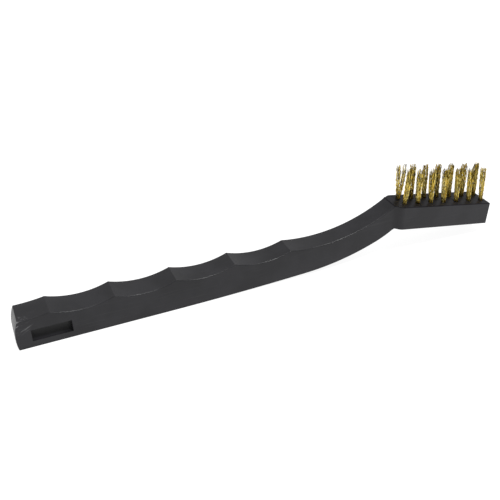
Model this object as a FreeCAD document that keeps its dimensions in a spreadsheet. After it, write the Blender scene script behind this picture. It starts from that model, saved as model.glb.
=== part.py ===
import FreeCAD, Part

import math
import os

import Sketcher

# Small hand wire brush: a one-piece moulded handle with finger scallops, a bent neck and a tilted
# bristle block, and two rows of brass wire tufts, each folded round a flat anchor at the bottom
# of its own blind hole.
#
# Datum for the handle's sizes: X runs from the butt to the bristle block, Z = 0 is the flat
# underside, Y = 0 is the middle of the width. Each body is then moved back by origin_x, so the
# finished brush has its origin under the middle of its length.

# numbers that a sketch gives its own axes; the X axis starts at its origin
X_AXIS, Y_AXIS = -1, -2

TUFT_COLUMNS = 7
ROWS = (("right", -1), ("left", 1))
CREST_COUNT = 5
ORIGIN_TOLERANCE = 0.02

# runs of the side outline, counted from the underside's foot at the butt
BOW, NECK_BASE, FACE, NECK_TOP = 1, 2, 6, 7

DIMENSIONS = (
    # butt end, crowned between its two corners, its foot a little behind the datum
    ("butt_foot_overhang", 0.35),
    ("butt_top_x", 0.7),
    ("butt_top_z", 11.3),
    ("butt_crown_radius", 18.0),
    ("butt_top_radius", 60.0),
    # finger scallops: five crests with a round hollow between each pair
    ("first_crest_x", 11.2),
    ("crest_pitch", 21.65),
    ("crest_1_z", 12.15),
    ("crest_2_z", 12.1),
    ("crest_3_z", 12.2),
    ("crest_4_z", 12.6),
    ("crest_5_z", 12.5),
    ("scallop_radius", 31.0),
    # neck: one hollow arc on top, three rising arcs underneath
    ("neck_top_radius", 61.5),
    ("flat_end_x", 50.0),
    ("bow_radius", 1200.0),
    ("neck_base_x", 104.0),
    ("neck_base_radius", 96.0),
    ("heel_start_x", 133.0),
    # bristle block
    ("heel_x", 141.1),
    ("heel_z", 11.2),
    ("toe_foot_x", 183.15),
    ("toe_foot_z", 4.3),
    ("toe_top_x", 183.85),
    ("toe_top_z", 13.25),
    ("face_root_x", 140.85),
    ("face_root_z", 20.93),
    # widths, seen from above
    ("butt_width", 10.4),
    ("neck_width", 8.0),
    ("block_width", 11.3),
    ("flare_start_x", 139.7),
    ("flare_end_x", 144.3),
    ("edge_round", 0.3),
    ("stock_margin", 2.0),
    # hanging slot through the butt
    ("slot_start_x", 4.4),
    ("slot_end_x", 17.8),
    ("slot_foot_z", 2.45),
    ("slot_top_z", 6.9),
    # tufts, their holes and their anchors
    ("first_tuft_x", 145.9),
    ("tuft_step_x", 5.93),
    ("row_spacing", 4.6),
    ("hole_radius", 1.0),
    ("hole_depth", 5.6),
    ("mouth_clear", 0.5),
    ("shank_radius", 0.85),
    ("tuft_height", 14.2),
    ("tuft_top_radius", 1.45),
    ("tuft_rim", 0.5),
    ("anchor_width", 2.4),
    ("anchor_thickness", 0.4),
    ("anchor_height", 1.8),
    ("wire_fold", 0.35),
    ("anchor_play", 0.04),
    # middle of the overall length, from the same datum
    ("origin_x", 91.51),
)

doc = FreeCAD.newDocument("wire_brush")
sheet = doc.addObject("Spreadsheet::Sheet", "dims")
for line, (alias, value) in enumerate(DIMENSIONS, start=1):
    sheet.set(f"A{line}", alias)
    sheet.set(f"B{line}", str(value))
    sheet.setAlias(f"B{line}", alias)
doc.recompute()


def size(alias):
    return float(sheet.get(alias))


def origin_plane(body, role):
    return next(f for f in body.Origin.OriginFeatures if f.Role == role)


def new_body(name):
    body = doc.addObject("PartDesign::Body", name)
    body.Label = name
    return body


def new_sketch(body, name, role):
    sketch = body.newObject("Sketcher::SketchObject", name)
    sketch.AttachmentSupport = [(origin_plane(body, role), "")]
    sketch.MapMode = "FlatFace"
    return sketch


def bind_constraint(sketch, constraint, expression):
    index = sketch.addConstraint(constraint)
    sketch.setExpression(f"Constraints[{index}]", expression)


def fix_point(sketch, geometry, end, point, x_size, y_size):
    """Ties a point to the sketch origin. A size of None leaves that direction free."""
    for kind, distance, expression in (
        ("DistanceX", point[0], x_size),
        ("DistanceY", point[1], y_size),
    ):
        if expression is None:
            continue
        origin, target = (X_AXIS, 1), (geometry, end)
        ends = (*target, *origin) if distance < 0 else (*origin, *target)
        bind_constraint(sketch, Sketcher.Constraint(kind, *ends, abs(distance)), expression)


def arc_between(start, end, radius, turn):
    """Arc from start to end, and which of its own ends each of them is.

    turn is 1 where the centre lies to the left of the way along it, and -1 to the right.
    """
    across, up = end[0] - start[0], end[1] - start[1]
    chord = math.hypot(across, up)
    rise = math.sqrt(radius**2 - chord**2 / 4)
    centre_x = (start[0] + end[0]) / 2 - turn * rise * up / chord
    centre_y = (start[1] + end[1]) / 2 + turn * rise * across / chord
    circle = Part.Circle(
        FreeCAD.Vector(centre_x, centre_y, 0), FreeCAD.Vector(0, 0, 1), radius
    )
    first, last = (start, end) if turn > 0 else (end, start)
    first_angle = math.atan2(first[1] - centre_y, first[0] - centre_x)
    last_angle = math.atan2(last[1] - centre_y, last[0] - centre_x)
    if last_angle < first_angle:
        last_angle += 2 * math.pi
    arc = Part.ArcOfCircle(circle, first_angle, last_angle)
    return arc, (1, 2) if turn > 0 else (2, 1)


def draw_loop(sketch, points, bends):
    """Closed outline through the points. bends[i] is None for a straight run from point i to the
    next, or (radius, turn) for an arc. Returns (geometry, start end, finish end) for each run."""
    runs = []
    for i, bend in enumerate(bends):
        start, end = points[i], points[(i + 1) % len(points)]
        if bend is None:
            edge = Part.LineSegment(
                FreeCAD.Vector(*start, 0), FreeCAD.Vector(*end, 0)
            )
            ends = (1, 2)
        else:
            edge, ends = arc_between(start, end, *bend)
        runs.append((sketch.addGeometry(edge, False), *ends))
    return runs


def join(sketch, runs, kinds):
    """Joins each run's finish to the next run's start, as a corner or as a tangent."""
    for i, kind in enumerate(kinds):
        geometry, _, finish = runs[i]
        following, start, _ = runs[(i + 1) % len(runs)]
        sketch.addConstraint(
            Sketcher.Constraint(kind, geometry, finish, following, start)
        )


def rising_arc(start, slope, radius, end_x):
    """End point and end slope of an arc that leaves start at the slope and curves upwards."""
    centre_x = start[0] - radius * math.sin(slope)
    centre_y = start[1] + radius * math.cos(slope)
    end_slope = math.asin((end_x - centre_x) / radius)
    return (end_x, centre_y - radius * math.cos(end_slope)), end_slope


def draw_side_outline(sketch):
    """The handle seen from the side, with a construction line along the bristle block's face."""
    flat_end = (size("flat_end_x"), 0.0)
    neck_base, neck_slope = rising_arc(
        flat_end, 0.0, size("bow_radius"), size("neck_base_x")
    )
    heel_start, heel_slope = rising_arc(
        neck_base, neck_slope, size("neck_base_radius"), size("heel_start_x")
    )
    heel = (size("heel_x"), size("heel_z"))
    chord = math.dist(heel_start, heel)
    chord_slope = math.atan2(heel[1] - heel_start[1], heel[0] - heel_start[0])
    heel_radius = chord / 2 / math.sin(chord_slope - heel_slope)

    points = [
        (-size("butt_foot_overhang"), 0.0),
        flat_end,
        neck_base,
        heel_start,
        heel,
        (size("toe_foot_x"), size("toe_foot_z")),
        (size("toe_top_x"), size("toe_top_z")),
        (size("face_root_x"), size("face_root_z")),
    ]
    places = [
        ("dims.butt_foot_overhang", None),
        ("dims.flat_end_x", None),
        ("dims.neck_base_x", None),
        ("dims.heel_start_x", None),
        ("dims.heel_x", "dims.heel_z"),
        ("dims.toe_foot_x", "dims.toe_foot_z"),
        ("dims.toe_top_x", "dims.toe_top_z"),
        ("dims.face_root_x", "dims.face_root_z"),
    ]
    bends = [
        None,
        (size("bow_radius"), 1),
        (size("neck_base_radius"), 1),
        (heel_radius, 1),
        None,
        None,
        None,
        (size("neck_top_radius"), -1),
    ]
    radii = {
        BOW: "dims.bow_radius",
        NECK_BASE: "dims.neck_base_radius",
        NECK_TOP: "dims.neck_top_radius",
    }
    for crest in range(CREST_COUNT, 0, -1):
        steps = crest - 1
        points.append(
            (size("first_crest_x") + steps * size("crest_pitch"), size(f"crest_{crest}_z"))
        )
        places.append(
            (f"dims.first_crest_x + {steps} * dims.crest_pitch", f"dims.crest_{crest}_z")
        )
        last = crest == 1
        radius = "butt_top_radius" if last else "scallop_radius"
        radii[len(bends)] = f"dims.{radius}"
        bends.append((size(radius), -1))
    points.append((size("butt_top_x"), size("butt_top_z")))
    places.append(("dims.butt_top_x", "dims.butt_top_z"))
    radii[len(bends)] = "dims.butt_crown_radius"
    bends.append((size("butt_crown_radius"), 1))

    runs = draw_loop(sketch, points, bends)
    kinds = ["Tangent"] * 3 + ["Coincident"] * (len(runs) - 3)
    join(sketch, runs, kinds)
    underside = runs[0][0]
    sketch.addConstraint(Sketcher.Constraint("PointOnObject", underside, 1, X_AXIS))
    sketch.addConstraint(Sketcher.Constraint("Horizontal", underside))
    for (geometry, start, _), point, (x_size, z_size) in zip(runs, points, places):
        fix_point(sketch, geometry, start, point, x_size, z_size)
    for run, radius in radii.items():
        bind_constraint(
            sketch, Sketcher.Constraint("Radius", runs[run][0], bends[run][0]), radius
        )

    face_run = runs[FACE][0]
    root, top = FreeCAD.Vector(*points[FACE + 1], 0), FreeCAD.Vector(*points[FACE], 0)
    face_line = sketch.addGeometry(Part.LineSegment(root, top), True)
    sketch.addConstraint(Sketcher.Constraint("Coincident", face_line, 1, face_run, 2))
    sketch.addConstraint(Sketcher.Constraint("Coincident", face_line, 2, face_run, 1))


def draw_plan_waste(sketch, side):
    """What is trimmed off one side of the stock: outside the taper, the flare and the block."""
    margin = size("stock_margin")
    butt_half = size("butt_width") / 2
    neck_half = size("neck_width") / 2
    block_half = size("block_width") / 2
    outer = size("block_width")
    far_x = size("toe_top_x") + margin
    flare_start, flare_end = size("flare_start_x"), size("flare_end_x")
    length, widening = flare_end - flare_start, block_half - neck_half
    flare_radius = (length**2 + widening**2) / 4 / widening
    points = [
        (-margin, side * butt_half),
        (flare_start, side * neck_half),
        ((flare_start + flare_end) / 2, side * (neck_half + block_half) / 2),
        (flare_end, side * block_half),
        (far_x, side * block_half),
        (far_x, side * outer),
        (-margin, side * outer),
    ]
    bends = [None, (flare_radius, side), (flare_radius, -side), None, None, None, None]
    runs = draw_loop(sketch, points, bends)
    join(sketch, runs, ["Tangent"] * 3 + ["Coincident"] * 4)
    sketch.addConstraint(Sketcher.Constraint("Equal", runs[1][0], runs[2][0]))
    places = {
        0: ("dims.stock_margin", "dims.butt_width / 2"),
        1: ("dims.flare_start_x", "dims.neck_width / 2"),
        3: ("dims.flare_end_x", "dims.block_width / 2"),
        4: ("dims.toe_top_x + dims.stock_margin", "dims.block_width / 2"),
        5: ("dims.toe_top_x + dims.stock_margin", "dims.block_width"),
        6: ("dims.stock_margin", "dims.block_width"),
    }
    for i, (x_size, y_size) in places.items():
        geometry, start, _ = runs[i]
        fix_point(sketch, geometry, start, points[i], x_size, y_size)


def draw_rectangle(sketch, centre, width, height, sizes):
    """Rectangle about a centre. sizes are the expressions for its four sides' distances from
    the sketch's axes, in the order low x, high x, low y, high y."""
    low_x, high_x = centre[0] - width / 2, centre[0] + width / 2
    low_y, high_y = centre[1] - height / 2, centre[1] + height / 2
    points = [(low_x, low_y), (high_x, low_y), (high_x, high_y), (low_x, high_y)]
    runs = draw_loop(sketch, points, [None] * 4)
    join(sketch, runs, ["Coincident"] * 4)
    for run, kind in zip(runs, ("Horizontal", "Vertical") * 2):
        sketch.addConstraint(Sketcher.Constraint(kind, run[0]))
    fix_point(sketch, runs[0][0], 1, points[0], sizes[0], sizes[2])
    fix_point(sketch, runs[2][0], 1, points[2], sizes[1], sizes[3])


FACE_FALL = (
    "(dims.face_root_z - dims.toe_top_z) / (dims.toe_top_x - dims.face_root_x)"
)


def tuft_x(column):
    return f"(dims.first_tuft_x + {column} * dims.tuft_step_x)"


def tuft_z(column):
    return f"(dims.face_root_z - ({tuft_x(column)} - dims.face_root_x) * {FACE_FALL})"


def place_on_block(sketch, lift):
    """Centres a level sketch on the first pair of tufts, lift above the mouths of their holes."""
    sketch.setExpression("AttachmentOffset.Base.x", tuft_x(0))
    sketch.setExpression("AttachmentOffset.Base.z", f"{tuft_z(0)} + {lift}")


def cut_through(body, name, sketch):
    pocket = body.newObject("PartDesign::Pocket", name)
    pocket.Profile = sketch
    pocket.Type = "ThroughAll"
    pocket.SideType = "Symmetric"
    pocket.AllowMultiFace = True
    doc.recompute()
    return pocket


def cut_down(body, name, sketch, length):
    pocket = body.newObject("PartDesign::Pocket", name)
    pocket.Profile = sketch
    pocket.Type = "Length"
    pocket.AllowMultiFace = True
    pocket.setExpression("Length", length)
    doc.recompute()
    return pocket


def repeat_along_block(body, name, original, outline):
    pattern = body.newObject("PartDesign::LinearPattern", name)
    pattern.Originals = [original]
    pattern.Direction = (outline, ["Axis0"])
    pattern.Occurrences = TUFT_COLUMNS
    pattern.setExpression(
        "Length",
        f"{TUFT_COLUMNS - 1} * dims.tuft_step_x * sqrt(1 + ({FACE_FALL})^2)",
    )
    body.Tip = pattern
    doc.recompute()
    return pattern


def round_edges(body, base):
    """Rounds every edge of the moulding as it stands, before the slot and the holes are cut.

    UseAllEdges takes in the whole base, so it doesn't matter which of its faces is named.
    """
    fillet = body.newObject("PartDesign::Fillet", "mould_edges")
    fillet.Base = (base, ["Face1"])
    fillet.UseAllEdges = True
    fillet.setExpression("Radius", "dims.edge_round")
    body.Tip = fillet
    doc.recompute()
    return fillet


def build_handle():
    body = new_body("handle")
    outline = new_sketch(body, "side_outline", "XZ_Plane")
    draw_side_outline(outline)
    stock = body.newObject("PartDesign::Pad", "stock")
    stock.Profile = outline
    stock.SideType = "Symmetric"
    stock.setExpression("Length", "dims.block_width + dims.stock_margin")
    doc.recompute()

    waste = new_sketch(body, "plan_waste", "XY_Plane")
    for _, side in ROWS:
        draw_plan_waste(waste, side)
    trimmed = cut_through(body, "plan_trim", waste)
    rounded = round_edges(body, trimmed)

    slot_sketch = new_sketch(body, "slot_outline", "XZ_Plane")
    low_x, high_x = size("slot_start_x"), size("slot_end_x")
    low_z, high_z = size("slot_foot_z"), size("slot_top_z")
    draw_rectangle(
        slot_sketch,
        ((low_x + high_x) / 2, (low_z + high_z) / 2),
        high_x - low_x,
        high_z - low_z,
        ("dims.slot_start_x", "dims.slot_end_x", "dims.slot_foot_z", "dims.slot_top_z"),
    )
    slotted = cut_through(body, "hang_slot", slot_sketch)

    hole_sketch = new_sketch(body, "hole_pair", "XY_Plane")
    place_on_block(hole_sketch, "dims.mouth_clear")
    radius = size("hole_radius")
    for _, side in ROWS:
        centre = FreeCAD.Vector(0, side * size("row_spacing") / 2, 0)
        circle = hole_sketch.addGeometry(
            Part.Circle(centre, FreeCAD.Vector(0, 0, 1), radius), False
        )
        bind_constraint(
            hole_sketch,
            Sketcher.Constraint("Radius", circle, radius),
            "dims.hole_radius",
        )
        hole_sketch.addConstraint(
            Sketcher.Constraint("PointOnObject", circle, 3, Y_AXIS)
        )
        fix_point(hole_sketch, circle, 3, centre, None, "dims.row_spacing / 2")
    holes = cut_down(
        body, "first_holes", hole_sketch, "dims.hole_depth + dims.mouth_clear"
    )
    all_holes = repeat_along_block(body, "tuft_holes", holes, outline)

    seat_sketch = new_sketch(body, "anchor_seat_pair", "XY_Plane")
    place_on_block(seat_sketch, "dims.wire_fold + dims.anchor_height - dims.hole_depth")
    half = "dims.anchor_thickness / 2"
    for _, side in ROWS:
        near = "dims.row_spacing / 2 - dims.anchor_width / 2"
        far = "dims.row_spacing / 2 + dims.anchor_width / 2"
        low, high = (near, far) if side > 0 else (far, near)
        draw_rectangle(
            seat_sketch,
            (0, side * size("row_spacing") / 2),
            size("anchor_thickness"),
            size("anchor_width"),
            (half, half, low, high),
        )
    seats = cut_down(body, "first_seats", seat_sketch, "dims.anchor_height")
    repeat_along_block(body, "anchor_seats", seats, outline)

    body.setExpression("Placement.Base.x", "-dims.origin_x")
    doc.recompute()
    removals = (
        ("plan_trim", stock, trimmed),
        ("mould_edges", trimmed, rounded),
        ("hang_slot", rounded, slotted),
        ("tuft_holes", slotted, all_holes),
        ("anchor_seats", all_holes, body),
    )
    for name, before, after in removals:
        removed = before.Shape.Volume - after.Shape.Volume
        if removed <= 0:
            raise ValueError(f"{name} removed nothing from the handle")
        print(f"handle {name}: {removed:.2f} mm3 removed")
    return body


def set_in_hole(body, side, column):
    """Moves a body from its own frame, whose origin is the mouth of its hole, to the block."""
    body.setExpression("Placement.Base.x", f"{tuft_x(column)} - dims.origin_x")
    body.setExpression("Placement.Base.y", f"{side} * dims.row_spacing / 2")
    body.setExpression("Placement.Base.z", tuft_z(column))


def draw_tuft_half(sketch):
    """Half of a tuft's length section: the shank in its hole, then the wires' spread."""
    shank, top = size("shank_radius"), size("tuft_top_radius")
    depth, height, rim = size("hole_depth"), size("tuft_height"), size("tuft_rim")
    points = [
        (0.0, -depth),
        (shank, -depth),
        (shank, 0.0),
        (top, height - rim),
        (top - rim, height),
        (0.0, height),
    ]
    places = [
        (None, "dims.hole_depth"),
        ("dims.shank_radius", "dims.hole_depth"),
        ("dims.shank_radius", None),
        ("dims.tuft_top_radius", "dims.tuft_height - dims.tuft_rim"),
        ("dims.tuft_top_radius - dims.tuft_rim", "dims.tuft_height"),
        (None, "dims.tuft_height"),
    ]
    runs = draw_loop(sketch, points, [None] * len(points))
    join(sketch, runs, ["Coincident"] * len(runs))
    for (geometry, start, _), point, (x_size, z_size) in zip(runs, points, places):
        fix_point(sketch, geometry, start, point, x_size, z_size)
    foot, mouth, tip = runs[0], runs[2], runs[-1]
    for (geometry, start, _), axis in ((foot, Y_AXIS), (tip, Y_AXIS), (mouth, X_AXIS)):
        sketch.addConstraint(Sketcher.Constraint("PointOnObject", geometry, start, axis))


def build_tuft(name, side, column):
    """A bundle of wires, folded round its anchor at the foot and spreading at the tips."""
    body = new_body(name)
    section = new_sketch(body, f"{name}_section", "XZ_Plane")
    draw_tuft_half(section)
    bundle = body.newObject("PartDesign::Revolution", f"{name}_bundle")
    bundle.Profile = section
    bundle.ReferenceAxis = (section, ["V_Axis"])
    bundle.Angle = 360
    doc.recompute()

    gap = new_sketch(body, f"{name}_gap", "XZ_Plane")
    width = size("anchor_thickness") + size("anchor_play")
    foot = size("wire_fold") - size("hole_depth")
    head = foot + size("anchor_height")
    half = "(dims.anchor_thickness + dims.anchor_play) / 2"
    draw_rectangle(
        gap,
        (0, (foot + head) / 2),
        width,
        head - foot,
        (
            half,
            half,
            "dims.hole_depth - dims.wire_fold",
            "dims.hole_depth - dims.wire_fold - dims.anchor_height",
        ),
    )
    cut_through(body, f"{name}_anchor_gap", gap)
    set_in_hole(body, side, column)
    if body.Shape.Volume >= bundle.Shape.Volume:
        raise ValueError(f"{name} has no room for its anchor")
    return body


def build_anchor(name, side, column):
    """The flat anchor that holds a tuft: its two edges bite into the walls of the hole."""
    body = new_body(name)
    outline = new_sketch(body, f"{name}_outline", "XY_Plane")
    outline.setExpression("AttachmentOffset.Base.z", "dims.wire_fold - dims.hole_depth")
    half_thickness, half_width = "dims.anchor_thickness / 2", "dims.anchor_width / 2"
    draw_rectangle(
        outline,
        (0, 0),
        size("anchor_thickness"),
        size("anchor_width"),
        (half_thickness, half_thickness, half_width, half_width),
    )
    plate = body.newObject("PartDesign::Pad", f"{name}_plate")
    plate.Profile = outline
    plate.setExpression("Length", "dims.anchor_height")
    set_in_hole(body, side, column)
    doc.recompute()
    return body


def check_all(bodies):
    """Stops if any object failed, a shape is bad or the origin isn't under the middle."""
    failed = [o.Name for o in doc.Objects if {"Invalid", "Error"} & set(o.State)]
    loose = [
        o.Name
        for o in doc.Objects
        if o.TypeId == "Sketcher::SketchObject" and not o.FullyConstrained
    ]
    bad = [b.Label for b in bodies if b.Shape.isNull() or not b.Shape.isValid()]
    split = [b.Label for b in bodies if len(b.Shape.Solids) != 1]
    if failed or loose or bad or split:
        raise ValueError(f"failed {failed}, loose {loose}, bad {bad}, split {split}")
    whole = FreeCAD.BoundBox()
    for body in bodies:
        whole.add(body.Shape.optimalBoundingBox())
    print(f"overall {whole.XLength:.2f} x {whole.YLength:.2f} x {whole.ZLength:.2f} mm")
    print(f"middle {whole.Center.x:.3f}, {whole.Center.y:.3f}, foot {whole.ZMin:.3f}")
    if max(abs(whole.Center.x), abs(whole.Center.y), abs(whole.ZMin)) > ORIGIN_TOLERANCE:
        raise ValueError("origin_x doesn't put the origin under the middle")


bodies = [build_handle()]
for row, side in ROWS:
    for column in range(TUFT_COLUMNS):
        bodies.append(build_tuft(f"tuft_{row}_{column + 1}", side, column))
        bodies.append(build_anchor(f"anchor_{row}_{column + 1}", side, column))
doc.recompute()
check_all(bodies)

os.makedirs("parts", exist_ok=True)
for body in bodies:
    body.Shape.exportStep(f"parts/{body.Label}.step")
    print(f"{body.Label}: {body.Shape.Volume:.2f} mm3")
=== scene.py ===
"""The looks of a small hand wire brush: a moulded handle and two rows of brass wire tufts.

Every length is in metres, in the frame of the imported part: +X runs from the butt to the bristle
block, +Z is up, and the flat underside of the handle lies on Z = 0.
"""

import logging
import math
from dataclasses import dataclass, replace
from enum import Enum
from typing import ClassVar

import bpy
from mathutils import Matrix, Vector


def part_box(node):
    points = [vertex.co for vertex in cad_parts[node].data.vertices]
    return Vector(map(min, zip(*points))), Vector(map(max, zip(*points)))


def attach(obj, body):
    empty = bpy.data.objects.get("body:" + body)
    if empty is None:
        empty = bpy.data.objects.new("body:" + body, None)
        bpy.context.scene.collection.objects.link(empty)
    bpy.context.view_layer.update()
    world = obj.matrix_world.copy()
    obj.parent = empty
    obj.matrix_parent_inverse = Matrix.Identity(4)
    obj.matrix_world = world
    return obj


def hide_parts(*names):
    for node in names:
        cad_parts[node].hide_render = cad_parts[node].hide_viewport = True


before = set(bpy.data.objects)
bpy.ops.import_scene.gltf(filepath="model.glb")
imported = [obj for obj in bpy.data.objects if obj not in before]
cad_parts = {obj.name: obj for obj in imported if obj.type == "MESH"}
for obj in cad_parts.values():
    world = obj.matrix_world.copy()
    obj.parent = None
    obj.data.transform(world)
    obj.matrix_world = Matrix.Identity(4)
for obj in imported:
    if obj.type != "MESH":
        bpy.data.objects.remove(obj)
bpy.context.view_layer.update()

BODY = "root"
MM = 0.001
Pair = tuple[float, float]
Triple = tuple[float, float, float]
Colour = tuple[float, float, float, float]

log = logging.getLogger("wire_brush")


class Row(Enum):
    """The two rows of tufts, named as the maker sees them from the butt."""

    LEFT = "left"
    RIGHT = "right"


class Slot(Enum):
    """The record's material slots."""

    HANDLE = "handle_plastic"
    WIRE = "brass_wire"
    ANCHOR = "anchor_steel"


class Draw(Enum):
    """The independent random draws that each leg of a wire makes."""

    STRAY_HEADING = 2
    STRAY_DISTANCE = 3
    BOW_HEADING = 4
    CRIMP_START = 5
    CRIMP_PLANE = 6
    SHORTNESS = 7
    TONE = 8


class NodeBench:
    """Lays nodes on one tree and joins them up."""

    def __init__(self, tree: bpy.types.NodeTree) -> None:
        """Takes the tree that the nodes go on."""
        self.tree = tree

    @staticmethod
    def pick(sockets: bpy.types.bpy_prop_collection, name: str) -> bpy.types.NodeSocket:
        """Finds the first enabled socket with a shown name among a node's inputs or outputs."""
        return next(s for s in sockets if s.name == name and s.enabled)

    def feed(self, socket: bpy.types.NodeSocket, value: object) -> None:
        """Joins a socket to an input, or sets the input where the value is a plain one.

        Args:
            socket: The input to feed.
            value: Another node's output, or a number, colour, vector or material.
        """
        if isinstance(value, bpy.types.NodeSocket):
            self.tree.links.new(value, socket)
        else:
            socket.default_value = value

    def add(
        self, kind: str, inputs: dict[str, object] | None = None, **settings: object
    ) -> bpy.types.Node:
        """Adds one node.

        Args:
            kind: The node's type name.
            inputs: Values or sockets for its inputs, by their shown names.
            **settings: The node's own properties, set before its inputs.

        Returns:
            The new node.
        """
        node = self.tree.nodes.new(kind)
        for name, setting in settings.items():
            setattr(node, name, setting)
        for name, value in (inputs or {}).items():
            self.feed(self.pick(node.inputs, name), value)
        return node

    def out(
        self, kind: str, output: str, inputs: dict[str, object] | None = None, **settings: object
    ) -> bpy.types.NodeSocket:
        """Adds one node, as add does, and hands back the output with the shown name given."""
        return self.pick(self.add(kind, inputs, **settings).outputs, output)

    def math(self, operation: str, *values: object) -> bpy.types.NodeSocket:
        """Works out a number from one to three others.

        Args:
            operation: The Math node's operation.
            *values: Numbers or sockets, in the node's order.

        Returns:
            The result's socket.
        """
        node = self.tree.nodes.new("ShaderNodeMath")
        node.operation = operation
        for socket, value in zip(node.inputs, values):
            self.feed(socket, value)
        return node.outputs[0]

    def ramp(self, low: float, high: float, value: object) -> bpy.types.NodeSocket:
        """Turns low..high of a value into a smooth 0..1, clamped at both ends."""
        inputs = {"Value": value, "From Min": low, "From Max": high, "To Min": 0.0, "To Max": 1.0}
        return self.out("ShaderNodeMapRange", "Result", inputs, interpolation_type="SMOOTHSTEP")

    def blend(self, share: object, first: object, second: object) -> bpy.types.NodeSocket:
        """Mixes two colours: a share of 0 gives the first, and 1 gives the second."""
        inputs = {"Factor": share, "A": first, "B": second}
        return self.out("ShaderNodeMix", "Result", inputs, data_type="RGBA")

    def between(self, share: object, low: float, high: float) -> bpy.types.NodeSocket:
        """Works out the number that lies a share of the way from low to high."""
        return self.math("MULTIPLY_ADD", share, high - low, low)

    def noise(self, place: object, scale: float, detail: float = 2.0) -> bpy.types.NodeSocket:
        """Adds a 0 to 1 noise with scale lumps to a unit of place, and detail finer layers."""
        inputs = {"Vector": place, "Scale": scale, "Detail": detail}
        return self.out("ShaderNodeTexNoise", "Fac", inputs)


class ShaderBench(NodeBench):
    """A new material with its one shader, ready for a finish to be laid on it."""

    def __init__(self, name: str) -> None:
        """Makes the material.

        Args:
            name: The material's name.
        """
        self.material = bpy.data.materials.new(name)
        self.material.use_nodes = True
        super().__init__(self.material.node_tree)
        self.shader = next(n for n in self.tree.nodes if n.type == "BSDF_PRINCIPLED")
        self.place = self.out("ShaderNodeTexCoord", "Object")

    def set(self, **sockets: object) -> None:
        """Feeds the shader's inputs, whose names are given with _ for each space."""
        for name, value in sockets.items():
            self.feed(self.shader.inputs[name.replace("_", " ")], value)

    def stretched(self, scale: tuple[float, float, float]) -> bpy.types.NodeSocket:
        """Gives the object's coordinates, scaled unevenly."""
        return self.out("ShaderNodeMapping", "Vector", {"Vector": self.place, "Scale": scale})

    def bump(self, height: object, depth: float, strength: float, under: object = None) -> object:
        """Lays a relief on the surface.

        Args:
            height: The relief's 0 to 1 height.
            depth: How deep it is, in metres.
            strength: How strongly it tilts the surface, 0 to 1.
            under: The normal of the relief that this one lies on, if there is one.

        Returns:
            The new normal's socket.
        """
        inputs = {"Height": height, "Distance": depth, "Strength": strength}
        if under is not None:
            inputs["Normal"] = under
        return self.out("ShaderNodeBump", "Normal", inputs)


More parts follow.
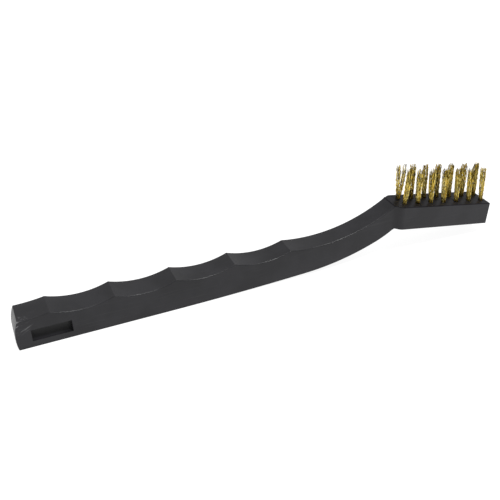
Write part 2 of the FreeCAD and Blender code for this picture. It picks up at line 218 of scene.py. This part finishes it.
@dataclass(frozen=True)
class MouldedPlastic:
    """Black satin plastic as it leaves the mould, with the streaks and scuffs of handling."""

    deep: Colour = (0.0058, 0.0056, 0.0072, 1.0)
    pale: Colour = (0.0105, 0.0102, 0.0125, 1.0)
    scratched: Colour = (0.16, 0.16, 0.165, 1.0)
    smooth: float = 0.34
    dull: float = 0.50
    grain: float = 0.22 * MM
    cloud: float = 9.0 * MM
    streak_length: float = 16.0 * MM
    streak_width: float = 0.30 * MM
    streak_show: float = 0.05
    scuff_reach: float = 4.6 * MM
    scuff_core: float = 0.15
    scuff_slant: float = math.radians(-28)
    scuff_size: Triple = (3.5 * MM, 0.8 * MM, 0.4 * MM)
    cloud_edges: Pair = (0.35, 0.65)
    streak_edges: Pair = (0.60, 0.72)
    scuff_edges: Pair = (0.54, 0.72)
    cloud_dulling: float = 0.4
    streak_dulling: float = 0.5
    grain_relief: Pair = (0.006 * MM, 0.35)
    streak_relief: Pair = (0.008 * MM, 0.15)
    ior: float = 1.38
    shine: float = 0.5
    # Reflection strength on the face the tufts stand in: painted shade from the tufts.
    shaded_face_shine: float = 0.08
    face_fade: float = 0.4 * MM

    def make(self, scuff_at: Vector, first_hole: Vector, last_hole: Vector) -> bpy.types.Material:
        """Makes the finish.

        Args:
            scuff_at: The corner that has been knocked and rubbed.
            first_hole: The mouth of the first tuft's hole, on the bristle face.
            last_hole: The mouth of the last one in the same row.

        Returns:
            The material.
        """
        bench = ShaderBench("moulded_black_plastic")
        clouds = bench.ramp(*self.cloud_edges, bench.noise(bench.place, 1 / self.cloud))
        across = 1 / self.streak_width
        along = bench.stretched((1 / self.streak_length, across, across))
        streaks = bench.ramp(*self.streak_edges, bench.noise(along, 1.0, detail=3.0))
        scuffs = self.scuffs(bench, scuff_at)
        grain = bench.noise(bench.place, 1 / self.grain, detail=1.0)

        tone = bench.blend(clouds, self.deep, self.pale)
        faint = bench.math("MULTIPLY", streaks, self.streak_show)
        tone = bench.blend(bench.math("MAXIMUM", faint, scuffs), tone, self.scratched)

        streak_dullness = bench.math("MULTIPLY", streaks, self.streak_dulling)
        cloud_dullness = bench.math("MULTIPLY", clouds, self.cloud_dulling)
        rubbed = bench.math("MAXIMUM", streak_dullness, scuffs)
        dullness = bench.math("MAXIMUM", cloud_dullness, rubbed)
        roughness = bench.between(dullness, self.smooth, self.dull)
        normal = bench.bump(grain, *self.grain_relief)
        normal = bench.bump(streaks, *self.streak_relief, normal)
        bench.set(Base_Color=tone, Roughness=roughness, Normal=normal, IOR=self.ior)
        # Painted shade: a weaker reflection on the face the tufts stand in stands in for the shade
        # they cast on it.
        painted_shade_mask = self.bristle_face(bench, first_hole, last_hole)
        bench.set(Specular_IOR_Level=bench.between(painted_shade_mask, self.shine, self.shaded_face_shine))
        return bench.material

    def bristle_face(
        self, bench: ShaderBench, first_hole: Vector, last_hole: Vector
    ) -> bpy.types.NodeSocket:
        """Finds the face that the tufts stand in, whose reflection is turned down as painted shade
        from the tufts.

        Args:
            bench: The material being made.
            first_hole: The mouth of the first tuft's hole.
            last_hole: The mouth of the last one in the same row.

        Returns:
            1 on the face and 0 away from it.
        """
        along = (last_hole - first_hole).normalized()
        upward = Vector((-along.z, 0.0, along.x))
        inputs = {"Vector": bench.place}
        height = bench.add("ShaderNodeVectorMath", inputs, operation="DOT_PRODUCT")
        bench.feed(height.inputs[1], tuple(upward))
        level = upward.dot(first_hole)
        sunk = self.face_fade
        return bench.ramp(level - sunk, level - sunk / 4, bench.pick(height.outputs, "Value"))

    def scuffs(self, bench: ShaderBench, corner: Vector) -> bpy.types.NodeSocket:
        """Lays short slanting rubs round a corner that fade out away from it.

        Args:
            bench: The material being made.
            corner: Where the rubs are thickest.

        Returns:
            Their 0 to 1 strength.
        """
        distance = bench.add("ShaderNodeVectorMath", operation="DISTANCE")
        bench.feed(distance.inputs[0], bench.place)
        bench.feed(distance.inputs[1], tuple(corner))
        offset = bench.pick(distance.outputs, "Value")
        far = bench.ramp(self.scuff_core * self.scuff_reach, self.scuff_reach, offset)
        inputs = {
            "Vector": bench.place,
            "Rotation": (0.0, self.scuff_slant, 0.0),
            "Scale": self.scuff_size,
        }
        slanted = bench.out("ShaderNodeMapping", "Vector", inputs, vector_type="TEXTURE")
        rubs = bench.ramp(*self.scuff_edges, bench.noise(slanted, 1.0))
        near = bench.math("SUBTRACT", 1.0, far)
        return bench.math("MULTIPLY", rubs, near)


@dataclass(frozen=True)
class BrassWire:
    """Drawn brass wire: every wire has its own tone, and brown tarnish runs along it in streaks."""

    tarnish: Colour = (0.075, 0.048, 0.002, 1.0)
    gold: Colour = (0.76, 0.51, 0.030, 1.0)
    bright: Colour = (1.0, 0.88, 0.34, 1.0)
    streak_across: float = 0.36 * MM
    streak_along: float = 4.0 * MM
    tip_age: float = 0.13
    tarnish_edges: Pair = (0.56, 0.67)
    tarnish_depth: float = 0.95
    wear_edges: Pair = (0.3, 0.7)
    polished: float = 0.20
    worn: float = 0.46

    def make(self) -> bpy.types.Material:
        """Makes the finish. It reads each wire's own tone, and how far along the wire a place is.

        Returns:
            The material.
        """
        bench = ShaderBench("brass_wire")
        tone = bench.out("ShaderNodeAttribute", "Fac", attribute_name="wire_tone")
        reach = bench.out("ShaderNodeAttribute", "Fac", attribute_name="wire_reach")
        across = 1 / self.streak_across
        patches = bench.noise(bench.stretched((across, across, 1 / self.streak_along)), 1.0)
        age = bench.math("MULTIPLY_ADD", reach, self.tip_age, patches)
        dark = bench.math("MULTIPLY", bench.ramp(*self.tarnish_edges, age), self.tarnish_depth)
        colour = bench.blend(tone, self.gold, self.bright)
        colour = bench.blend(dark, colour, self.tarnish)
        wear = bench.ramp(*self.wear_edges, patches)
        roughness = bench.between(wear, self.polished, self.worn)
        bench.set(Base_Color=colour, Metallic=1.0, Roughness=roughness)
        return bench.material


@dataclass(frozen=True)
class AnchorSteel:
    """Plain steel strip, faintly lined along its length by the rolls."""

    light: Colour = (0.56, 0.56, 0.58, 1.0)
    dark: Colour = (0.34, 0.34, 0.36, 1.0)
    line_width: float = 0.08 * MM
    line_length: float = 3.0 * MM
    smooth: float = 0.30
    dull: float = 0.48
    relief: Pair = (0.004 * MM, 0.25)

    def make(self) -> bpy.types.Material:
        """Makes the finish.

        Returns:
            The material.
        """
        bench = ShaderBench("anchor_steel")
        across = 1 / self.line_width
        lines = bench.noise(bench.stretched((across, 1 / self.line_length, across)), 1.0)
        bench.set(
            Base_Color=bench.blend(lines, self.dark, self.light),
            Metallic=1.0,
            Roughness=bench.between(lines, self.smooth, self.dull),
            Normal=bench.bump(lines, *self.relief),
        )
        return bench.material


@dataclass(frozen=True)
class TuftHabit:
    """How one tuft stands: its wires, how far they have opened, and where its tips went along X."""

    wires: int = 26
    spread: float = 1.45
    stray: float = 0.46 * MM
    drift: float = 0.0
    parted: float = 0.0


@dataclass(frozen=True)
class TuftSizes:
    """The sizes that all the tufts share, in each tuft's own frame."""

    hole_depth: float = 5.6 * MM
    fold_room: float = 0.35 * MM
    shank_radius: float = 0.76 * MM
    height: float = 14.2 * MM
    wire_radius: float = 0.09 * MM
    anchor_half: float = 0.2 * MM
    crimps: int = 6
    crimp_height: float = 0.12 * MM
    bow: float = 0.16 * MM
    ragged: float = 0.26

    def mouth(self, low: Vector, high: Vector) -> Vector:
        """Finds the middle of a hole's mouth from the box of the tuft that stands in it."""
        return Vector(((low.x + high.x) / 2, (low.y + high.y) / 2, low.z + self.hole_depth))


class TuftTree(NodeBench):
    """The Geometry Nodes tree of one tuft: crimped wires, each folded round the anchor.

    Each wire starts as a straight line of points. A point's share of the way along the wire says
    whether it is in the fold under the anchor, in the hole or above the block, and so where it
    goes.
    """

    BURIED_STEPS = 4
    STEPS_PER_CRIMP = 4
    WIRE_SIDES = 4
    LAYERS = 3
    EASE = 0.8
    STRAY_BIAS = 1.6
    SHORT_BIAS = 1.5
    CRIMP_FADE = 7
    DRAWS_APART = 100
    INPUTS = (
        ("Wires", "NodeSocketInt"),
        ("Seed", "NodeSocketInt"),
        ("Crimps", "NodeSocketInt"),
        ("Wire Radius", "NodeSocketFloat"),
        ("Hole Depth", "NodeSocketFloat"),
        ("Fold Room", "NodeSocketFloat"),
        ("Shank Radius", "NodeSocketFloat"),
        ("Anchor Half", "NodeSocketFloat"),
        ("Height", "NodeSocketFloat"),
        ("Ragged", "NodeSocketFloat"),
        ("Spread", "NodeSocketFloat"),
        ("Stray", "NodeSocketFloat"),
        ("Drift", "NodeSocketFloat"),
        ("Parted", "NodeSocketFloat"),
        ("Crimp Height", "NodeSocketFloat"),
        ("Bow", "NodeSocketFloat"),
        ("Mouth", "NodeSocketVector"),
        ("Finish", "NodeSocketMaterial"),
    )

    def __init__(self) -> None:
        """Builds the whole tree."""
        super().__init__(bpy.data.node_groups.new("folded_wire_tuft", "GeometryNodeTree"))
        interface = self.tree.interface
        interface.new_socket("Geometry", in_out="OUTPUT", socket_type="NodeSocketGeometry")
        self.identifiers = {
            name: interface.new_socket(name, in_out="INPUT", socket_type=kind).identifier
            for name, kind in self.INPUTS
        }
        self.given = self.tree.nodes.new("NodeGroupInput").outputs
        self.steps = self.math(
            "MULTIPLY_ADD", self.given["Crimps"], self.STEPS_PER_CRIMP, self.BURIED_STEPS
        )
        blank = self.blank_wires()
        placed = self.add(
            "GeometryNodeSetPosition", {"Geometry": blank, "Position": self.wire_path()}
        ).outputs[0]
        self.finish(self.with_wire_facts(placed))

    def blank_wires(self) -> bpy.types.NodeSocket:
        """Makes one straight line of points for each wire, and numbers the wires.

        Returns:
            The lines' geometry.
        """
        count = self.math("MULTIPLY_ADD", self.steps, 2, 1)
        line = self.out("GeometryNodeCurvePrimitiveLine", "Curve")
        line = self.out("GeometryNodeResampleCurve", "Curve", {"Curve": line, "Count": count})
        starts = self.out("GeometryNodePoints", "Points", {"Count": self.given["Wires"]})
        wires = self.out(
            "GeometryNodeInstanceOnPoints", "Instances", {"Points": starts, "Instance": line}
        )
        number = self.out("GeometryNodeInputIndex", "Index")
        wires = self.out(
            "GeometryNodeStoreNamedAttribute",
            "Geometry",
            {"Geometry": wires, "Name": "wire", "Value": number},
            data_type="INT",
            domain="INSTANCE",
        )
        return self.out("GeometryNodeRealizeInstances", "Geometry", {"Geometry": wires})

    def chance(self, draw: Draw, most: float) -> bpy.types.NodeSocket:
        """Draws a number for each leg.

        Args:
            draw: Which of the independent draws this is.
            most: The most it can be. The least is 0.

        Returns:
            The drawn number's socket.
        """
        seed = self.math("MULTIPLY_ADD", self.given["Seed"], self.DRAWS_APART, draw.value)
        inputs = {"Min": 0.0, "Max": most, "ID": self.leg, "Seed": seed}
        return self.out("FunctionNodeRandomValue", "Value", inputs, data_type="FLOAT")

    def wire_path(self) -> bpy.types.NodeSocket:
        """Works out where each point of each wire goes, in the tuft's own frame.

        Returns:
            The points' places.
        """
        inputs = {"Name": "wire"}
        self.wire = self.out(
            "GeometryNodeInputNamedAttribute", "Attribute", inputs, data_type="INT"
        )
        share = self.out("GeometryNodeSplineParameter", "Factor")
        signed = self.math("MULTIPLY_ADD", share, 2, -1)
        side = self.math("SIGN", signed)
        second = self.math("GREATER_THAN", signed, 0)
        self.leg = self.math("MULTIPLY_ADD", self.wire, 2, second)

        buried_share = self.math("DIVIDE", self.BURIED_STEPS, self.steps)
        away = self.math("ABSOLUTE", signed)
        rise = self.math("MINIMUM", self.math("DIVIDE", away, buried_share), 1)
        above = self.math("MAXIMUM", self.math("SUBTRACT", away, buried_share), 0)
        self.reach = self.math("DIVIDE", above, self.math("SUBTRACT", 1, buried_share))

        base_x, base_y, fold_z = self.shank_place(side, rise)
        across, along = self.opened(side, base_x, base_y)
        cube = self.math("POWER", rise, 3)
        in_hole = self.math("MULTIPLY", fold_z, self.math("SUBTRACT", 1, cube))
        height = self.math("ADD", in_hole, self.math("MULTIPLY", self.reach, self.own_length()))
        return self.out("ShaderNodeCombineXYZ", "Vector", {"X": across, "Y": along, "Z": height})

    def leftover(self, long_squared: object, short: object) -> bpy.types.NodeSocket:
        """Works out a right triangle's third side from its longest one squared and a short one."""
        difference = self.math("SUBTRACT", long_squared, self.math("POWER", short, 2))
        return self.math("SQRT", difference)

    def shank_place(self, side: object, rise: object) -> tuple[bpy.types.NodeSocket, ...]:
        """Places a wire in the hole. Side by side, the wires take turns at three layers.

        Args:
            side: -1 on one leg of the wire, 1 on the other and 0 at the fold.
            rise: 0 at the fold and 1 at the mouth of the hole.

        Returns:
            The leg's X and Y in the hole, and the Z of its fold.
        """
        radius = self.given["Wire Radius"]
        room = self.math("SUBTRACT", self.given["Shank Radius"], radius)
        clear = self.math("ADD", self.given["Anchor Half"], radius)
        room_squared = self.math("POWER", room, 2)
        widest = self.leftover(room_squared, clear)
        share = self.math("DIVIDE", self.math("ADD", self.wire, 0.5), self.given["Wires"])
        base_y = self.math("MULTIPLY", self.math("MULTIPLY_ADD", share, 2, -1), widest)

        chord = self.leftover(room_squared, base_y)
        layer = self.math("DIVIDE", self.math("MODULO", self.wire, self.LAYERS), self.LAYERS - 1)
        leg_x = self.math("MULTIPLY_ADD", layer, self.math("SUBTRACT", chord, clear), clear)
        turn = self.math("MINIMUM", self.math("MULTIPLY", rise, self.BURIED_STEPS), 1)
        base_x = self.math("MULTIPLY", self.math("MULTIPLY", side, turn), leg_x)

        slack = self.math("MULTIPLY_ADD", radius, -2, self.given["Fold Room"])
        inner = self.math("SUBTRACT", 1, layer)
        foot = self.math("SUBTRACT", radius, self.given["Hole Depth"])
        return base_x, base_y, self.math("MULTIPLY_ADD", inner, slack, foot)

    def opened(
        self, side: object, base_x: object, base_y: object
    ) -> tuple[bpy.types.NodeSocket, ...]:
        """Opens the wires out above the block, each with its own stray, bow and crimps.

        Args:
            side: -1 on one leg of the wire and 1 on the other.
            base_x: The leg's X in the hole.
            base_y: The leg's Y in the hole.

        Returns:
            The wire's X and Y at each point.
        """
        ease = self.math("POWER", self.reach, self.EASE)
        heading = self.chance(Draw.STRAY_HEADING, math.tau)
        far = self.math("POWER", self.chance(Draw.STRAY_DISTANCE, 1.0), self.STRAY_BIAS)
        stray = self.math("MULTIPLY", self.given["Stray"], far)

        bow_heading = self.chance(Draw.BOW_HEADING, math.tau)
        arch = self.math("SINE", self.math("MULTIPLY", self.reach, math.pi))
        bow = self.math("MULTIPLY", arch, self.given["Bow"])

        plane = self.chance(Draw.CRIMP_PLANE, math.pi)
        crimps_so_far = self.math("MULTIPLY", self.given["Crimps"], self.reach)
        start = self.chance(Draw.CRIMP_START, math.tau)
        phase = self.math("MULTIPLY_ADD", crimps_so_far, math.tau, start)
        fade = self.math("MINIMUM", self.math("MULTIPLY", self.reach, self.CRIMP_FADE), 1)
        depth = self.math("MULTIPLY", self.given["Crimp Height"], fade)
        wave = self.math("MULTIPLY", self.math("SINE", phase), depth)

        widening = self.math("SUBTRACT", self.given["Spread"], 1)
        pushed = self.math("MULTIPLY_ADD", self.given["Parted"], side, self.given["Drift"])
        result = []
        for base, drift, turn in ((base_x, pushed, "COSINE"), (base_y, 0.0, "SINE")):
            opening = self.math("MULTIPLY_ADD", base, widening, drift)
            strayed = self.math("MULTIPLY_ADD", stray, self.math(turn, heading), opening)
            moved = self.math("MULTIPLY", strayed, ease)
            bowed = self.math("MULTIPLY_ADD", bow, self.math(turn, bow_heading), moved)
            crimped = self.math("MULTIPLY_ADD", wave, self.math(turn, plane), bowed)
            result.append(self.math("ADD", base, crimped))
        return tuple(result)

    def own_length(self) -> bpy.types.NodeSocket:
        """Draws how far each leg stands out of the block: most reach nearly the full height.

        Returns:
            The leg's length above the block.
        """
        short = self.math("POWER", self.chance(Draw.SHORTNESS, 1.0), self.SHORT_BIAS)
        lost = self.math("MULTIPLY", short, self.given["Ragged"])
        return self.math("MULTIPLY", self.given["Height"], self.math("SUBTRACT", 1, lost))

    def with_wire_facts(self, wires: bpy.types.NodeSocket) -> bpy.types.NodeSocket:
        """Keeps each leg's tone and each point's reach for the finish to read.

        Args:
            wires: The placed centre lines.

        Returns:
            The same lines with both facts on their points.
        """
        facts = (("wire_tone", self.chance(Draw.TONE, 1.0)), ("wire_reach", self.reach))
        for name, value in facts:
            inputs = {"Geometry": wires, "Name": name, "Value": value}
            wires = self.out(
                "GeometryNodeStoreNamedAttribute",
                "Geometry",
                inputs,
                data_type="FLOAT",
                domain="POINT",
            )
        return wires

    def finish(self, wires: bpy.types.NodeSocket) -> None:
        """Gives the wires their thickness, stands them in the hole and dresses them.

        Args:
            wires: The placed centre lines.
        """
        inputs = {"Resolution": self.WIRE_SIDES, "Radius": self.given["Wire Radius"]}
        ring = self.out("GeometryNodeCurvePrimitiveCircle", "Curve", inputs)
        inputs = {"Curve": wires, "Profile Curve": ring, "Fill Caps": True}
        solid = self.out("GeometryNodeCurveToMesh", "Mesh", inputs)
        solid = self.add("GeometryNodeSetShadeSmooth", {"Geometry": solid}).outputs[0]
        inputs = {"Geometry": solid, "Translation": self.given["Mouth"]}
        stood = self.out("GeometryNodeTransform", "Geometry", inputs)
        whole = self.out("GeometryNodeRealizeInstances", "Geometry", {"Geometry": stood})
        inputs = {"Geometry": whole, "Material": self.given["Finish"]}
        dressed = self.out("GeometryNodeSetMaterial", "Geometry", inputs)
        self.feed(self.tree.nodes.new("NodeGroupOutput").inputs[0], dressed)

    def grow(self, name: str, values: dict[str, object]) -> bpy.types.Object:
        """Makes one tuft as a plain mesh.

        Args:
            name: The new piece's name.
            values: A value for every input of the tree, by name.

        Returns:
            The piece, at the origin, with its place in its mesh.
        """
        blank = bpy.data.meshes.new(f"{name}_seedling")
        seedling = bpy.data.objects.new(blank.name, blank)
        bpy.context.collection.objects.link(seedling)
        modifier = seedling.modifiers.new("wires", "NODES")
        modifier.node_group = self.tree
        for input_name, value in values.items():
            modifier[self.identifiers[input_name]] = value
        evaluated = seedling.evaluated_get(bpy.context.evaluated_depsgraph_get())
        mesh = bpy.data.meshes.new_from_object(evaluated)
        mesh.name = name
        bpy.data.objects.remove(seedling)
        piece = bpy.data.objects.new(name, mesh)
        bpy.context.collection.objects.link(piece)
        return piece


class Handle:
    """The one-piece moulding: grip, neck and bristle block."""

    NODE = "handle"
    KNOCKED_X = 2.3 * MM
    KNOCKED_Z = 9.9 * MM

    def __init__(self, finish: MouldedPlastic, sizes: TuftSizes, columns: int) -> None:
        """Takes the moulding's finish, and what says where its first and last holes are.

        Args:
            finish: The moulding's finish.
            sizes: The sizes that the tufts share.
            columns: How many tufts there are in a row.
        """
        self.finish = finish
        self.low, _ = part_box(self.NODE)
        ends = (f"tuft_{Row.RIGHT.value}_{column}" for column in (1, columns))
        self.holes = [sizes.mouth(*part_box(node)) for node in ends]

    def build(self) -> list[str]:
        """Dresses the moulding.

        Returns:
            The names of the pieces made or dressed.
        """
        knocked_corner = self.low + Vector((self.KNOCKED_X, 0.0, self.KNOCKED_Z))
        finish = self.finish.make(knocked_corner, *self.holes)
        dress(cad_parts[self.NODE], finish)
        return [self.NODE]


@dataclass
class BristleField:
    """The two rows of tufts in the block, with the anchors that hold them.

    PUSHED holds how many millimetres each tuft's tips have been pushed along +X, from the neck on.
    """

    PUSHED: ClassVar[dict[Row, tuple[float, ...]]] = {
        Row.RIGHT: (1.10, -0.45, -0.55, -0.45, -0.65, -0.60, -0.80),
        Row.LEFT: (0.55, -0.55, -0.60, -0.90, -0.80, -0.60, -0.55),
    }
    PARTED_HABIT: ClassVar[TuftHabit] = TuftHabit(
        wires=20, spread=1.5, stray=0.5 * MM, parted=0.75 * MM
    )

    wire_finish: BrassWire
    anchor_finish: AnchorSteel
    sizes: TuftSizes = TuftSizes()
    columns: int = 7

    def habit(self, row: Row, column: int) -> TuftHabit:
        """Says how one tuft stands.

        Args:
            row: The tuft's row.
            column: Its place in the row, from 1 at the neck.

        Returns:
            Its habit. The first one in the left row has lost wires and parted into a V, and most
            of the others have been pushed back a little.
        """
        drift = self.PUSHED[row][column - 1] * MM
        if row is Row.LEFT and column == 1:
            return replace(self.PARTED_HABIT, drift=drift)
        return TuftHabit(drift=drift)

    def build(self) -> list[str]:
        """Grows the wires of every tuft and dresses every anchor.

        Returns:
            The names of the pieces made or dressed.
        """
        tree = TuftTree()
        brass = self.wire_finish.make()
        steel = self.anchor_finish.make()
        made = []
        for row_number, row in enumerate(Row):
            for column in range(1, self.columns + 1):
                place = f"{row.value}_{column}"
                seed = row_number * self.columns + column
                habit = self.habit(row, column)
                settings = self.settings(f"tuft_{place}", habit, seed, brass)
                wires = tree.grow(f"wires_{place}", settings)
                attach(wires, BODY)
                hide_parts(f"tuft_{place}")
                anchor = f"anchor_{place}"
                dress(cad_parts[anchor], steel)
                made += [wires.name, anchor]
        return made

    def settings(
        self, node: str, habit: TuftHabit, seed: int, brass: bpy.types.Material
    ) -> dict[str, object]:
        """Fills in the tree's inputs for one tuft.

        Args:
            node: The tuft's solid in the frame.
            habit: How the tuft stands.
            seed: The number that its random draws start from.
            brass: The wires' finish.

        Returns:
            A value for every input, by name.
        """
        sizes = self.sizes
        return {
            "Wires": habit.wires,
            "Seed": seed,
            "Crimps": sizes.crimps,
            "Wire Radius": sizes.wire_radius,
            "Hole Depth": sizes.hole_depth,
            "Fold Room": sizes.fold_room,
            "Shank Radius": sizes.shank_radius,
            "Anchor Half": sizes.anchor_half,
            "Height": sizes.height,
            "Ragged": sizes.ragged,
            "Spread": habit.spread,
            "Stray": habit.stray,
            "Drift": habit.drift,
            "Parted": habit.parted,
            "Crimp Height": sizes.crimp_height,
            "Bow": sizes.bow,
            "Mouth": tuple(sizes.mouth(*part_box(node))),
            "Finish": brass,
        }


@dataclass(frozen=True)
class Lamp:
    """A soft rectangular lamp that looks at the middle of the brush."""

    name: str
    place: Triple
    size: float
    power: float

    def hang(self, target: Vector) -> None:
        """Makes the lamp.

        Args:
            target: The point that it faces.
        """
        light = bpy.data.lights.new(self.name, "AREA")
        light.shape = "SQUARE"
        light.size = self.size
        light.energy = self.power
        lamp = bpy.data.objects.new(self.name, light)
        lamp.location = self.place
        lamp.rotation_euler = (Vector(self.place) - target).to_track_quat("Z", "Y").to_euler()
        bpy.context.collection.objects.link(lamp)


@dataclass
class Studio:
    """A pale sweep, soft light and the camera."""

    azimuth: float = math.radians(-21.82)
    elevation: float = math.radians(32.03)
    roll: float = math.radians(-1.40)
    lens: float = 54.52
    near_limit: float = 0.01
    camera_place: Triple = (-0.09309, -0.21294, 0.15772)
    floor_side: float = 12.0
    floor_drop: float = 0.02 * MM
    floor_tone: Colour = (0.20, 0.20, 0.20, 1.0)
    floor_glow: float = 0.91
    floor_roughness: float = 0.9
    floor_ior: float = 1.2
    sky_tone: Colour = (1.0, 1.0, 1.0, 1.0)
    sky_strength: float = 0.68
    lamp_target: Triple = (0.0, 0.0, 0.01)
    lamps: tuple[Lamp, ...] = (
        Lamp("overhead", (0.0, 0.0, 1.2), 1.2, 2.0),
        Lamp("key", (0.178, -0.30, 0.80), 0.06, 6.0),
    )

    def build(self) -> None:
        """Sets the stage."""
        self.lay_floor()
        for lamp in self.lamps:
            lamp.hang(Vector(self.lamp_target))
        self.light_sky()
        self.place_camera()
        bpy.context.scene.view_settings.view_transform = "Standard"

    def lay_floor(self) -> None:
        """Lays the floor a hair below the brush."""
        half = self.floor_side / 2
        corners = [(-half, -half), (half, -half), (half, half), (-half, half)]
        mesh = bpy.data.meshes.new("floor")
        mesh.from_pydata([(x, y, -self.floor_drop) for x, y in corners], [], [(0, 1, 2, 3)])
        floor = bpy.data.objects.new("floor", mesh)
        bpy.context.collection.objects.link(floor)
        bench = ShaderBench("pale_sweep")
        bench.set(Base_Color=self.floor_tone, Roughness=self.floor_roughness, IOR=self.floor_ior)
        bench.set(Emission_Color=self.sky_tone, Emission_Strength=self.floor_glow)
        mesh.materials.append(bench.material)

    def light_sky(self) -> None:
        """Lights the scene evenly from all round."""
        world = bpy.data.worlds.new("studio")
        world.use_nodes = True
        background = next(n for n in world.node_tree.nodes if n.type == "BACKGROUND")
        background.inputs["Color"].default_value = self.sky_tone
        background.inputs["Strength"].default_value = self.sky_strength
        bpy.context.scene.world = world

    def place_camera(self) -> None:
        """Sets the camera up, turned a little about its own line of sight."""
        forward_reach, rise = math.cos(self.elevation), math.sin(self.elevation)
        right = Vector((math.cos(self.azimuth), math.sin(self.azimuth), 0.0))
        back = Vector((right.y * forward_reach, -right.x * forward_reach, rise))
        level = Matrix((right, back.cross(right), back)).transposed()
        data = bpy.data.cameras.new("camera")
        data.lens = self.lens
        data.clip_start = self.near_limit
        camera = bpy.data.objects.new("camera", data)
        turned = level @ Matrix.Rotation(self.roll, 3, "Z")
        camera.matrix_world = Matrix.Translation(self.camera_place) @ turned.to_4x4()
        bpy.context.collection.objects.link(camera)
        bpy.context.scene.camera = camera


def dress(piece: bpy.types.Object, material: bpy.types.Material) -> None:
    """Gives a piece its finish.

    Args:
        piece: The piece to dress.
        material: Its finish.
    """
    if not piece.material_slots:
        piece.data.materials.append(material)
    for material_slot in piece.material_slots:
        material_slot.material = material


def main() -> None:
    """Builds the brush, then the studio round it."""
    logging.basicConfig(level=logging.INFO, format="%(name)s: %(message)s")
    Studio().build()
    field = BristleField(BrassWire(), AnchorSteel())
    handle = Handle(MouldedPlastic(), field.sizes, field.columns)
    for assembly in (handle, field):
        for name in assembly.build():
            faces = len(bpy.data.objects[name].data.polygons)
            log.info("%s: %s, %d faces", type(assembly).__name__, name, faces)


if __name__ == "__main__":
    main()
